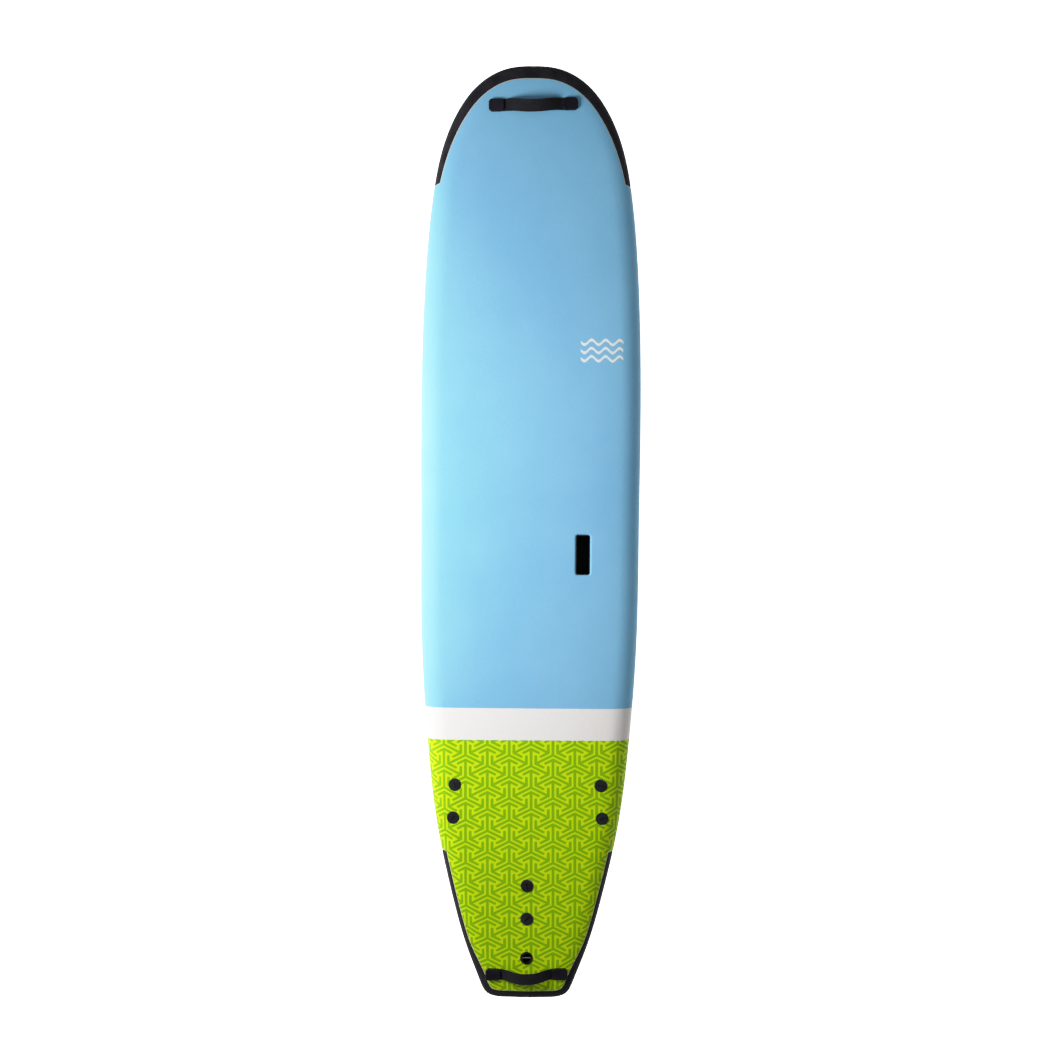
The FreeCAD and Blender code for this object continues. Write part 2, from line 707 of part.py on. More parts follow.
def main():
    edge = right_edge()
    outer = hull(edge)
    core = hull(inset_edge(edge, SKIN_SIDE), SKIN_TOP, SKIN_BOTTOM)

    seats = {
        "left": FinSeat(edge, -SIDE_FIN[0], SIDE_FIN[1], -TOE_IN, FIN_CANT),
        "right": FinSeat(edge, SIDE_FIN[0], SIDE_FIN[1], TOE_IN, -FIN_CANT),
        "centre": FinSeat(edge, 0, CENTRE_FIN_Y, 0, 0),
    }
    handles = {"nose": Handle(edge, NOSE_HANDLE), "tail": Handle(edge, TAIL_HANDLE)}
    cup_top = deck_height(edge, CUP_X, CUP_Y)
    cup_floor = cup_top - CUP_DEEP
    plug_rim = deck_height(edge, 0, PLUG_Y) + PLUG_PROUD

    holes = [sleeve_hole(*bolt) for seat in seats.values() for bolt in seat.bolts]
    holes += [handle.anchor_hole(side) for handle in handles.values() for side in (-1, 1)]
    holes.append(cup_solid(cup_floor, cup_top + CUP_DEEP, CUP_WALL))
    holes.append(plug_hole(plug_rim))

    nodes, shell = make_shells(edge, outer, core, holes)
    nodes.update(make_deck_and_bottom(edge, shell))
    nodes.update(make_fins(seats, outer))
    for name, handle in handles.items():
        nodes.update(make_handle(name, handle, outer))
    cup = cup_solid(cup_floor, cup_top - CUP_SUNK, CUP_WALL)
    nodes["carry_cup"] = cup.cut(cup_solid(cup_floor, cup_top + CUP_DEEP, 0))
    nodes["leash_plug"] = leash_plug(plug_rim).cut(leash_pin(plug_rim))
    nodes["leash_pin"] = leash_pin(plug_rim)

    fins = Part.makeCompound([nodes["fin_" + place] for place in seats])
    lift = Vector(0, 0, -fins.optimalBoundingBox(False).ZMin)
    for name in sorted(nodes):
        shape = nodes[name]
        shape.translate(lift)
        solids = shape.Solids
        shape = solids[0] if len(solids) == 1 else Part.makeCompound(solids)
        shape.exportStep("parts/" + name + ".step")
        print(name, len(solids), shape.isValid(), round(shape.Volume / 1000, 3))
    print("lift", lift.z)


main()
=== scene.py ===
"""The looks of a soft-top longboard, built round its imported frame.

The hull's outer skins are remade as fine meshes with rounded foam and rubber edges, the strap
handles as bent webbing, and every piece gets its own material.
Row frame, metres: +Y to the nose, +X to the right, +Z up off the deck.
"""

import json
import math

import bpy
import numpy as np
from mathutils import Matrix, Vector, geometry, kdtree


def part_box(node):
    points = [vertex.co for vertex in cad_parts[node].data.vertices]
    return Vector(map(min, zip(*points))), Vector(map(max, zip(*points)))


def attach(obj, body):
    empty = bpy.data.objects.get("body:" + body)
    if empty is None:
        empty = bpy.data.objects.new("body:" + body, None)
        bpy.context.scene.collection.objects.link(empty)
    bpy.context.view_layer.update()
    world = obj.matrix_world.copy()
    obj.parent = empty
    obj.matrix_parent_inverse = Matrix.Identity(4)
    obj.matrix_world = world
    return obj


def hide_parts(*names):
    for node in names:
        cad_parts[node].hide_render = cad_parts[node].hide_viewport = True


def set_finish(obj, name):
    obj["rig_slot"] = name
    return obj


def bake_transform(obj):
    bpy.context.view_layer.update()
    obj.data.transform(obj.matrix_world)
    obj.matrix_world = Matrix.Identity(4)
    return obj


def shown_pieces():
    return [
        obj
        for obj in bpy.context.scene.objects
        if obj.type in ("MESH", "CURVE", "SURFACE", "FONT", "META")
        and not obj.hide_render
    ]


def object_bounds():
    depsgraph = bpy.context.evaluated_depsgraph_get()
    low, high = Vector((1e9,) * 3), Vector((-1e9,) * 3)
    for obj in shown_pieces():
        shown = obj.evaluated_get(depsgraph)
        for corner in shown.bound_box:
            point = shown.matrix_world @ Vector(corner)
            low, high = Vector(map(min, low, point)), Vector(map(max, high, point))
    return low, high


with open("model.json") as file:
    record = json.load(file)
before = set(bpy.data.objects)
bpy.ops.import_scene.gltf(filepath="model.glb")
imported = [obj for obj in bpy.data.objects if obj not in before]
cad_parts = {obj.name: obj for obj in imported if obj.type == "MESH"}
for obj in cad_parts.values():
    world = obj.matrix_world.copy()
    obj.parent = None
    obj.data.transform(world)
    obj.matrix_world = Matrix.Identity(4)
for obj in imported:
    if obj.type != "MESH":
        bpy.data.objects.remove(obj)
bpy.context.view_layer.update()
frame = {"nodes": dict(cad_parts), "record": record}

# ---- the hull's form ----
HALF = 1.3715
OUTLINE = [
    (0, HALF), (0.068, HALF - 0.0055), (0.127, HALF - 0.0285), (0.181, HALF - 0.0725),
    (0.2195, 1.246), (0.2585, 1.162), (0.296, 0.992), (0.319, 0.730), (0.328, 0.410),
    (0.326, 0.030), (0.320, -0.342), (0.301, -0.610), (0.267, -0.876), (0.227, -1.054),
    (0.175, -1.231), (0.140, -1.319), (0.1315, 0.0325 - HALF), (0.118, 0.014 - HALF),
    (0.098, 0.005 - HALF), (0.050, 0.0012 - HALF), (0, -HALF),
]
BOTTOM_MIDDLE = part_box("bottom_skin")[0].z
THICK_MID, THICK_TIP, THICK_POWER = 0.094, 0.038, 3.0
NOSE_ROCKER, NOSE_POWER = 0.112, 2.6
TAIL_ROCKER, TAIL_POWER = 0.048, 2.3
APEX_SHARE = 0.43
DECK_ROLL, DECK_CROWN, CROWN_SHARE = 0.062, 0.165, 0.2
BOTTOM_ROLL = 0.058
BOTTOM_EDGE = 0.024

# ---- seams between the skins ----
NOSE_END, NOSE_WIDTH, NOSE_WIDTH_AT_END = 1.045, 0.040, 0.017
TAIL_END, TAIL_WIDTH, TAIL_WIDTH_AT_END = -0.941, 0.023, 0.0145
TAIL_WIDENS = (-1.190, -1.310)
SLANT_AHEAD, SLANT = 0.056, 0.245
SEAM_ROUND = 0.0016
HOLE_ROUND = 0.006
SEAT_ROUND = 0.0016
SKIN_THICK = 0.0035
TRIM_WIDE = 0.0019
SEAT_PLAY = 0.0006
# The hand hole's own width, its finger hold left out, and the radius of its corners.
HOLE_WIDE, HOLE_CORNER = 0.041, 0.006

# ---- mesh spacing ----
OUTLINE_STEP = 0.002
LOOP_STEP = 0.009
GRID_STEP = 0.014
GRID_ROW_SHARE = 0.866
GRID_HALF_WIDTH = 0.336
GRID_STARTS = 0.93
BORDER_STEP, BORDER_END_STEP = 0.006, 0.003
SLOT_STEP = 0.0035
BOTTOM_EDGE_STEP = 0.008
RAIL_ANGLES = (6, 13, 21, 30, 39, 49, 59, 70, 82)
SEAM_ROWS = (0.0003, 0.0008, 0.0016, 0.0026, 0.0042)
HOLE_ROWS = (0.0004, 0.001, 0.0018, 0.003, 0.0044, 0.006, 0.009)
# How far free points stay from each kind of line.
BORDER_GAP, HOLE_GAP, SEAT_GAP, EDGE_GAP = 0.006, 0.013, 0.006, 0.005

# ---- strap handles: angles in degrees ----
NOSE_STRAP = dict(y=1.255, span=0.0846, bow=0.0235, lean=19.0, tilt=19.0, skew=1.5, width=0.0352)
TAIL_STRAP = dict(y=-1.294, span=0.0754, bow=0.0275, lean=12.0, tilt=-6.0, skew=0.6, width=0.0322)
STRAP_THICK = 0.0026
STRAP_BASE = STRAP_THICK / 2 + 0.0003
STRAP_STEPS = 64
# The share of the half span at which the strap ends.
END_UNDER_CAP = 1.36
ARCH_FLATNESS = 2.4
ARCH_ENTRY = 1.5
SLOPE_RUN = 0.02
HEM_WIDE, HEM_STEPS = 0.0032, 8
RIBS, RIB_STEPS = 3, 32
# The webbing between its hems, and its ribs, as shares of the thickness and of what is left.
BODY_SHARE, RIB_SHARE = 0.72, 0.55
HEM_INNER = 1.05
SHARP_ANGLE = math.radians(50)

# ---- prints on the deck ----
BLUE_END, WHITE_END = -0.5094, -0.6034
BAND_SOFT = 0.0005
BAND_RAGGED = 0.0012
# Prints spread out from these shares of a point's place, and by this share of the rail's rise.
SPREAD_FROM = (0.55, 0.97)
RISE_SHARE = 0.45
# The tail print: a lattice of three-armed figures, each arm ending in an arrow head.
LATTICE = 0.0636
LATTICE_STRETCH = 1.17
ARM_LONG = 0.050
BARB_LONG, BARB_ANGLE = 0.0215, math.radians(30)
LINE_WIDE = 0.0070
# One meeting point of three figures, and the print's slight turn on the board.
PRINT_AT, PRINT_TURN = (0.009, -0.6155), math.radians(0.46)
# Three wave lines on the deck, right of the middle and ahead of mid-length.
WAVES_AT = (0.208, 0.546)
WAVES_WIDE = 0.125
WAVE_LONG = 0.0415
WAVE_HIGH = 0.007
WAVE_GAP = 0.024
WAVE_LINE = 0.0085
WAVE_SOFT = 0.0006

# ---- light ----
SKY_LIGHT = 0.22
KEY_AT, KEY_SIZE, KEY_POWER = (-1.4, 0.16, 1.3), 0.9, 54.0
KEY_AIM = (0, 0, 0.15)
FLOOR_GLOW = 0.85
FLOOR_HALF = 14.0
FLOOR_GAP = 0.0005
# The film's response: straight at first, then easing off towards white.
BRIGHTEST = 1.6
RESPONSE = ((0.0, 0.0), (0.55, 0.55), (0.85, 0.81), (1.15, 0.93), (1.35, 0.975), (BRIGHTEST, 1.0))
# What the camera sees behind the board: just past the film's white.
BACKDROP = 1.05 * BRIGHTEST

# ---- camera: straight above, far enough for the photo's slight perspective ----
CAMERA_HEIGHT = 4.043
CAMERA_AHEAD = 0.0164
CAMERA_ROLL = math.radians(0.46)
CAMERA_LENS = 44.33
CAMERA_REACH = 60
SENSOR = 36.0


# ---------------------------------------------------------------- plan outline

def spline(points, first, last, step):
    """A smooth curve through points, with unit directions first and last at its ends."""
    at = np.array(points, float)
    gaps = np.linalg.norm(np.diff(at, axis=0), axis=1)
    count = len(at)
    system, right = np.eye(count), np.zeros((count, 2))
    right[0], right[-1] = first, last
    for i in range(1, count - 1):
        before, after = gaps[i - 1], gaps[i]
        system[i, i - 1:i + 2] = after, 2 * (before + after), before
        step_in, step_out = at[i] - at[i - 1], at[i + 1] - at[i]
        right[i] = 3 * (after * step_in / before + before * step_out / after)
    slopes = np.linalg.solve(system, right)
    fine = [at[:1]]
    for i, gap in enumerate(gaps):
        t = np.arange(1, int(gap / step) + 2)[:, None] / (int(gap / step) + 1)
        fine.append(
            (2 * t**3 - 3 * t**2 + 1) * at[i] + (t**3 - 2 * t**2 + t) * gap * slopes[i]
            + (3 * t**2 - 2 * t**3) * at[i + 1] + (t**3 - t**2) * gap * slopes[i + 1]
        )
    return np.concatenate(fine)


def evenly(line, step):
    """The same line, with points step apart."""
    run = np.concatenate([[0], np.cumsum(np.linalg.norm(np.diff(line, axis=0), axis=1))])
    where = np.linspace(0, run[-1], max(int(round(run[-1] / step)), 1) + 1)
    return np.stack([np.interp(where, run, line[:, i]) for i in range(2)], axis=1)


def left_of(line):
    """Unit directions square to a line, to the left of its run."""
    along = np.gradient(line, axis=0)
    along /= np.linalg.norm(along, axis=1)[:, None]
    return np.stack([-along[:, 1], along[:, 0]], axis=1)


def distance_to(line, points):
    """How far each point is from a line of short segments."""
    tree = kdtree.KDTree(len(line))
    for i, (x, y) in enumerate(line):
        tree.insert((x, y, 0), i)
    tree.balance()
    near = np.array([tree.find((x, y, 0))[1] for x, y in points], int)
    found = np.full(len(points), np.inf)
    for shift in (-1, 0):
        first = np.clip(near + shift, 0, len(line) - 2)
        step = line[first + 1] - line[first]
        apart = points - line[first]
        share = np.clip((apart * step).sum(1) / (step**2).sum(1), 0, 1)
        apart = apart - share[:, None] * step
        found = np.minimum(found, np.sqrt((apart**2).sum(1)))
    return found


RIM = evenly(spline(OUTLINE, (1, 0), (-1, 0), OUTLINE_STEP), OUTLINE_STEP)


def mirrored(points):
    return points * (-1, 1)


WHOLE_RIM = np.concatenate([RIM, mirrored(RIM[::-1])])


def depth_inside(points):
    """How far inside the outline each point lies."""
    folded = np.abs(points) * (1, 0) + points * (0, 1)
    depth = distance_to(RIM, folded)
    return np.where(depth < 1e-6, 0, depth)


# ---------------------------------------------------------------- hull surface

def rocker(y):
    nose = NOSE_ROCKER * (np.maximum(y, 0) / HALF) ** NOSE_POWER
    tail = TAIL_ROCKER * (np.maximum(-y, 0) / HALF) ** TAIL_POWER
    return nose + tail


def thickness(y):
    return THICK_MID - (THICK_MID - THICK_TIP) * np.abs(y / HALF) ** THICK_POWER


def quarter_round(t):
    return np.sqrt(1 - (1 - np.minimum(t, 1)) ** 2)


def apex_height(y):
    return BOTTOM_MIDDLE + rocker(y) + APEX_SHARE * thickness(y)


def deck_height(points):
    depth, y = depth_inside(points), points[:, 1]
    roll = (1 - CROWN_SHARE) * quarter_round(depth / DECK_ROLL)
    roll = roll + CROWN_SHARE * quarter_round(depth / DECK_CROWN)
    return apex_height(y) + (1 - APEX_SHARE) * thickness(y) * roll


def bottom_height(points):
    depth, y = depth_inside(points), points[:, 1]
    return apex_height(y) - APEX_SHARE * thickness(y) * quarter_round(depth / BOTTOM_ROLL)


def deck_at(x, y):
    return float(deck_height(np.array([[x, y]], float))[0])


# ---------------------------------------------------------------- seams and holes, in plan

def end_line(x, end, sign):
    return end + sign * (SLANT_AHEAD - SLANT * np.abs(x))


def bumper_border(end, width_at, sign):
    """A bumper's inner border: in over the left rail, round its end, out over the right one."""
    outer = RIM if sign > 0 else RIM[::-1]
    inward = -left_of(outer) * sign
    inner = outer + inward * width_at(outer[:, 1])[:, None]

    def reached(line):
        past = (line[:, 1] - end_line(line[:, 0], end, sign)) * sign
        return int(np.argmax(past < 0))

    corner_out, corner_in = outer[reached(outer)], inner[reached(inner)]
    inner = inner[:reached(inner)]
    inner[0, 0] = 0
    across = evenly(np.array([corner_in, corner_out]), BORDER_END_STEP)
    half = np.concatenate([evenly(inner, BORDER_STEP), across])
    return np.concatenate([mirrored(half[:0:-1]), half])


def nose_width(y):
    share = np.clip((HALF - y) / (HALF - NOSE_END), 0, 1)
    return NOSE_WIDTH + (NOSE_WIDTH_AT_END - NOSE_WIDTH) * share


def tail_width(y):
    share = np.clip((y - TAIL_WIDENS[0]) / (TAIL_WIDENS[1] - TAIL_WIDENS[0]), 0, 1)
    return TAIL_WIDTH_AT_END + (TAIL_WIDTH - TAIL_WIDTH_AT_END) * share**2 * (3 - 2 * share)


def rounded_slot(low, high, corner):
    """A closed loop of points round a rounded rectangle in plan."""
    loop = []
    corners = [(high.x, high.y), (low.x, high.y), (low.x, low.y), (high.x, low.y)]
    for turn, (x, y) in enumerate(corners):
        centre_x = x - math.copysign(corner, x - (low.x + high.x) / 2)
        centre_y = y - math.copysign(corner, y - (low.y + high.y) / 2)
        for part in range(0, 91, 15):
            angle = math.radians(90 * turn + part)
            loop.append((centre_x + corner * math.cos(angle), centre_y + corner * math.sin(angle)))
    loop.append(loop[0])
    return evenly(np.array(loop), SLOT_STEP)


def circle(x, y, radius, count=48):
    angles = np.arange(count + 1) * 2 * math.pi / count
    return np.stack([x + radius * np.cos(angles), y + radius * np.sin(angles)], axis=1)


def inside(polygon, points):
    """Which points lie inside a closed polygon."""
    found = np.zeros(len(points), bool)
    for a, b in zip(polygon, np.roll(polygon, -1, axis=0)):
        if a[1] == b[1]:
            continue
        crosses = (a[1] > points[:, 1]) != (b[1] > points[:, 1])
        at = a[0] + (points[:, 1] - a[1]) * (b[0] - a[0]) / (b[1] - a[1])
        found ^= crosses & (points[:, 0] < at)
    return found


def node_circle(node, grow=0.0):
    """A circle round a round node, as (x, y, radius)."""
    low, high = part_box(node)
    return (low.x + high.x) / 2, (low.y + high.y) / 2, (high.x - low.x) / 2 + grow


# ---------------------------------------------------------------- the skins' meshes

NOSE_BORDER = bumper_border(NOSE_END, nose_width, 1)
TAIL_BORDER = bumper_border(TAIL_END, tail_width, -1)
CUP_LOW, CUP_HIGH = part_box("carry_cup")
GRIP_REACH = (CUP_HIGH.x - CUP_LOW.x) - HOLE_WIDE
CUP_EDGE = rounded_slot(CUP_LOW, CUP_HIGH - Vector((GRIP_REACH, 0, 0)), HOLE_CORNER)
BOLT_PARTS = [name for name in sorted(frame["nodes"]) if name.startswith("fin_bolt_")]
SEATS = [node_circle(name, SEAT_PLAY) for name in BOLT_PARTS if "sleeves" not in name]
PLUG = node_circle("leash_plug")


def beside(line, rows):
    """Rows of points on both sides of a line, none nearer to it than its row."""
    side = left_of(line)
    found = []
    for row in rows:
        for offset in (-row, row):
            moved = line + side * offset
            found.append(moved[distance_to(line, moved) > 0.95 * row])
    return np.concatenate(found)


def rings(x, y, radius, rows):
    return np.concatenate([circle(x, y, radius + row)[:-1] for row in rows])


def sheet_points(roll, deck):
    """Free points of one sheet: loops that follow the outline, and a staggered grid between."""
    loops = []
    for angle in RAIL_ANGLES:
        inset = roll * (1 - math.cos(math.radians(angle)))
        moved = evenly(RIM + -left_of(RIM) * inset, LOOP_STEP)
        moved = moved[(moved[:, 0] > 0) & (depth_inside(moved) > inset - 0.0004)]
        loops += [moved, mirrored(moved)]
    rows = []
    for i, y in enumerate(np.arange(-HALF, HALF, GRID_STEP * GRID_ROW_SHARE)):
        xs = np.arange(-GRID_HALF_WIDTH, GRID_HALF_WIDTH, GRID_STEP) + (i % 2) * GRID_STEP / 2
        rows.append(np.stack([xs, np.full_like(xs, y)], axis=1))
    grid = np.concatenate(rows)
    grid = grid[inside(WHOLE_RIM, grid)]
    grid = grid[depth_inside(grid) > roll * GRID_STARTS]
    free = np.concatenate(loops + [grid])
    for border in (NOSE_BORDER, TAIL_BORDER):
        free = free[distance_to(border, free) > BORDER_GAP]
    if deck:
        free = free[distance_to(CUP_EDGE, free) > HOLE_GAP]
        free = free[~inside(CUP_EDGE, free)]
        for x, y, radius in SEATS + [PLUG]:
            free = free[np.hypot(free[:, 0] - x, free[:, 1] - y) > radius + SEAT_GAP]
    else:
        free = free[distance_to(bottom_edge(), free) > EDGE_GAP]
    return free


def bottom_edge():
    """The bottom sheet's edge, a closed loop inside the outline."""
    moved = RIM + -left_of(RIM) * BOTTOM_EDGE
    moved = evenly(moved[depth_inside(moved) > BOTTOM_EDGE - 0.0003], BOTTOM_EDGE_STEP)
    moved[0, 0] = moved[-1, 0] = 0
    return np.concatenate([moved, mirrored(moved[-2::-1])])


def triangulated(roll, deck):
    """One sheet of the hull in plan: its points and triangles, split along every seam and hole."""
    points, edges = [], []

    def add_line(line, closed=False):
        first = sum(len(p) for p in points)
        kept = line[:-1] if closed else line
        points.append(kept)
        edges.extend((first + i, first + i + 1) for i in range(len(kept) - 1))
        if closed:
            edges.append((first + len(kept) - 1, first))

    rim = evenly(RIM, LOOP_STEP)
    rim[0, 0] = rim[-1, 0] = 0
    ends = np.array([NOSE_BORDER[-1], TAIL_BORDER[0]])
    ends[:, 0] = np.abs(ends[:, 0])
    for end in ends:
        rim[np.argmin(((rim - end) ** 2).sum(1))] = end
    add_line(np.concatenate([rim, mirrored(rim[-2::-1])]), closed=True)
    for border in (NOSE_BORDER, TAIL_BORDER):
        add_line(border[1:-1])
        points.append(beside(border, SEAM_ROWS))
    if deck:
        add_line(CUP_EDGE, closed=True)
        outward = beside(CUP_EDGE, HOLE_ROWS)
        points.append(outward[~inside(CUP_EDGE, outward)])
        for x, y, radius in SEATS + [PLUG]:
            add_line(circle(x, y, radius), closed=True)
            points.append(rings(x, y, radius, SEAM_ROWS))
    else:
        add_line(bottom_edge(), closed=True)
        points.append(beside(bottom_edge(), SEAM_ROWS[:3]))
    points.append(sheet_points(roll, deck))
    plan = [Vector(p) for p in np.concatenate(points)]
    found = geometry.delaunay_2d_cdt(plan, edges, [], 0, 1e-6)
    return np.array([tuple(v) for v in found[0]]), np.array([tuple(f) for f in found[2]])


def zone(border, sign):
    """A bumper's zone as a polygon: its border, closed well outside the outline."""
    left, right = border[0], border[-1]
    far = [
        right + (1, -sign * SLANT),
        (right[0] + 1, sign * 3),
        (left[0] - 1, sign * 3),
        left + (-1, -sign * SLANT),
    ]
    return np.concatenate([border, np.array(far)])


def labelled_sheet(roll, deck):
    """One sheet's plan points and triangles, and the name of the skin each triangle belongs to."""
    plan, faces = triangulated(roll, deck)
    middles = plan[faces].mean(1)
    keep = inside(WHOLE_RIM, middles)
    if deck:
        keep &= ~inside(CUP_EDGE, middles)
        for x, y, radius in SEATS + [PLUG]:
            keep &= np.hypot(middles[:, 0] - x, middles[:, 1] - y) > radius
    faces, middles = faces[keep], middles[keep]
    label = np.full(len(faces), "deck_skin", dtype="U12")
    if not deck:
        label[inside(bottom_edge(), middles)] = "bottom_skin"
        faces = faces[:, ::-1]
    label[inside(zone(NOSE_BORDER, 1), middles)] = "nose_bumper"
    label[inside(zone(TAIL_BORDER, -1), middles)] = "tail_bumper"
    return plan, faces, label


def hull_sheets():
    """Every point and triangle of the hull, each triangle labelled with the skin it belongs to."""
    all_points, all_plans, all_faces, labels = [], [], [], []
    first = 0
    sheets = ((True, DECK_ROLL, deck_height), (False, BOTTOM_ROLL, bottom_height))
    for deck, roll, height in sheets:
        plan, faces, label = labelled_sheet(roll, deck)
        all_points.append(np.column_stack([plan, height(plan)]))
        all_plans.append(unrolled(plan, deck))
        all_faces.append(faces + first)
        labels.append(label)
        first += len(plan)
    points, plans = np.concatenate(all_points), np.concatenate(all_plans)
    faces, labels = np.concatenate(all_faces), np.concatenate(labels)
    _, kept, place = np.unique(
        np.round(points, 6), axis=0, return_index=True, return_inverse=True
    )
    return points[kept], plans[kept], place.reshape(-1)[faces], labels


def unrolled(plan, deck):
    """Where points would lie with the sheet laid flat, so that prints run round the rail."""
    depth = depth_inside(plan)
    outward = plan - plan * SPREAD_FROM
    outward /= np.maximum(np.linalg.norm(outward, axis=1), 1e-9)[:, None]
    rise = (1 - APEX_SHARE) * THICK_MID * (1 - CROWN_SHARE)
    angle = np.arccos(np.clip(1 - depth / DECK_ROLL, 0, 1))
    longer = rise * (1 - np.sin(angle)) * RISE_SHARE
    if not deck:
        below = APEX_SHARE * THICK_MID * quarter_round(depth / BOTTOM_ROLL)
        longer = rise * RISE_SHARE + below + depth
    return plan + outward * longer[:, None]


def vertex_normals(points, faces):
    corner = points[faces]
    flat = np.cross(corner[:, 1] - corner[:, 0], corner[:, 2] - corner[:, 0])
    normals = np.zeros_like(points)
    for i in range(3):
        np.add.at(normals, faces[:, i], flat)
    return normals / np.maximum(np.linalg.norm(normals, axis=1), 1e-12)[:, None]


def rounding(distance, radius):
    """How far an edge of that radius lies below the sheet, at a distance in from the edge."""
    inner = radius - np.minimum(distance, radius)
    return radius - np.sqrt(np.maximum(radius**2 - inner**2, 0))


def edge_dips(points, label):
    """How far each point of a skin is drawn in, to round the skin's edges."""
    plan = points[:, :2]
    dip = np.zeros(len(points))
    for border in (NOSE_BORDER, TAIL_BORDER):
        dip = np.maximum(dip, rounding(distance_to(border, plan), SEAM_ROUND))
    if label == "deck_skin":
        dip = np.maximum(dip, rounding(distance_to(CUP_EDGE, plan), HOLE_ROUND))
        for x, y, radius in SEATS + [PLUG]:
            apart = np.abs(np.hypot(plan[:, 0] - x, plan[:, 1] - y) - radius)
            dip = np.maximum(dip, rounding(apart, SEAT_ROUND))
    if label in ("deck_skin", "bottom_skin"):
        below = points[:, 2] < apex_height(plan[:, 1]) - 0.002
        seam = rounding(distance_to(bottom_edge(), plan), SEAM_ROUND / 2)
        dip = np.where(below, np.maximum(dip, seam), dip)
    return dip


def cut_edge(points):
    """1 where the deck's printed face is trimmed back beside a bumper, falling to 0 further in."""
    plan = points[:, :2]
    apart = np.minimum(distance_to(NOSE_BORDER, plan), distance_to(TAIL_BORDER, plan))
    return np.clip(1.5 - apart / TRIM_WIDE, 0, 1)


def mesh_object(name, points, faces):
    """A new smooth-shaded object, linked to the scene."""
    mesh = bpy.data.meshes.new(name)
    corners = [tuple(int(i) for i in face) for face in faces]
    mesh.from_pydata([tuple(point) for point in points], [], corners)
    mesh.shade_smooth()
    mesh.update()
    piece = bpy.data.objects.new(name, mesh)
    bpy.context.scene.collection.objects.link(piece)
    return piece


def apply_modifiers(piece):
    bpy.context.view_layer.update()
    shaped = piece.evaluated_get(bpy.context.evaluated_depsgraph_get())
    mesh = bpy.data.meshes.new_from_object(shaped)
    piece.modifiers.clear()
    piece.data = mesh
    return piece


def solid_from_sheet(piece, thick):
    """Gives a sheet its thickness, inward."""
    solidify = piece.modifiers.new("thickness", "SOLIDIFY")
    solidify.thickness = thick
    solidify.offset = -1
    solidify.use_rim = True
    return apply_modifiers(piece)


def add_skins():
    """The deck foam, the two bumpers and the bottom sheet, each a closed mesh."""
    points, plans, faces, labels = hull_sheets()
    normals = vertex_normals(points, faces)
    for label, slot in (("deck_skin", "deck_foam"), ("nose_bumper", "bumper_rubber"),
                        ("tail_bumper", "bumper_rubber"), ("bottom_skin", "slick_bottom")):
        mine = faces[labels == label]
        used, place = np.unique(mine, return_inverse=True)
        at = points[used] - normals[used] * edge_dips(points[used], label)[:, None]
        piece = mesh_object(label + "_sheet", at, place.reshape(mine.shape))
        flat = piece.data.attributes.new("flat_place", "FLOAT_VECTOR", "POINT")
        spread = np.column_stack([plans[used], np.zeros(len(used))])
        flat.data.foreach_set("vector", spread.astype(np.float32).ravel())
        edge = piece.data.attributes.new("cut_edge", "FLOAT", "POINT")
        edge.data.foreach_set("value", cut_edge(points[used]).astype(np.float32))
        solid_from_sheet(piece, SKIN_THICK)
        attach(piece, "board")
        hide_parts(label)
        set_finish(piece, slot)


# ---------------------------------------------------------------- strap handles

class Handle:
    """One strap handle: a webbing strap that leaves its two caps flat and arches over the deck."""

    def __init__(self, name, y, span, bow, lean, tilt, skew, width):
        self.name = name
        self.span, self.bow, self.width = span, bow, width
        self.lean, self.tilt = math.radians(lean), math.radians(tilt)
        climb = deck_at(0, y + SLOPE_RUN) - deck_at(0, y - SLOPE_RUN)
        slope = math.atan2(climb, 2 * SLOPE_RUN)
        turn = Matrix.Rotation(slope, 4, "X") @ Matrix.Rotation(math.radians(skew), 4, "Z")
        self.place = Matrix.Translation((0, y, deck_at(0, y))) @ turn

    def height(self, share):
        """The strap's height at a share of its half span: flat at the caps, highest halfway."""
        return STRAP_BASE + self.bow * (1 - abs(share) ** ARCH_FLATNESS) ** ARCH_ENTRY

    def half_line(self, side):
        """The strap's middle line from its flat end under one cap to the middle of the arch."""
        shares = np.linspace(END_UNDER_CAP, 0, STRAP_STEPS)
        return [Vector((s * self.span * side, 0, self.height(min(s, 1)))) for s in shares]

    def ring(self, line, i, side, section):
        """The strap's section round point i of its middle line, leaning and tilting as it rises."""
        ahead = line[min(i + 1, len(line) - 1)] - line[max(i - 1, 0)]
        if i == len(line) - 1:
            ahead = Vector((-side, 0, 0))
        up = Vector((-ahead.z, 0, ahead.x)).normalized() * -side
        raised = (line[i].z - STRAP_BASE) / self.bow
        pivot = Vector((0, 0, STRAP_BASE))
        middle = Matrix.Rotation(self.lean * raised, 3, "X") @ (line[i] - pivot) + pivot
        tilted = Matrix.Rotation(self.tilt * raised, 3, "X")
        return [
            self.place @ (middle + tilted @ (up * off + Vector((0, across, 0))))
            for across, off in section
        ]

    def half(self, side):
        """Half of the strap, from its flat end under one cap to the middle of the arch, as one
        mesh.
        """
        word = "left" if side < 0 else "right"
        section = webbing_section(self.width)
        line = self.half_line(side)
        points = []
        for i in range(len(line)):
            points += self.ring(line, i, side, section)
        faces = tube_faces(len(line), len(section), side)
        piece = mesh_object(f"{self.name}_strap_{word}", points, faces)
        piece.data.set_sharp_from_angle(angle=SHARP_ANGLE)
        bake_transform(piece)
        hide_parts(f"{self.name}_strap_leg_{word}", f"{self.name}_strap_end_{word}")
        if side > 0:
            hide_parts(self.name + "_strap_grip")
        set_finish(piece, "strap_webbing")


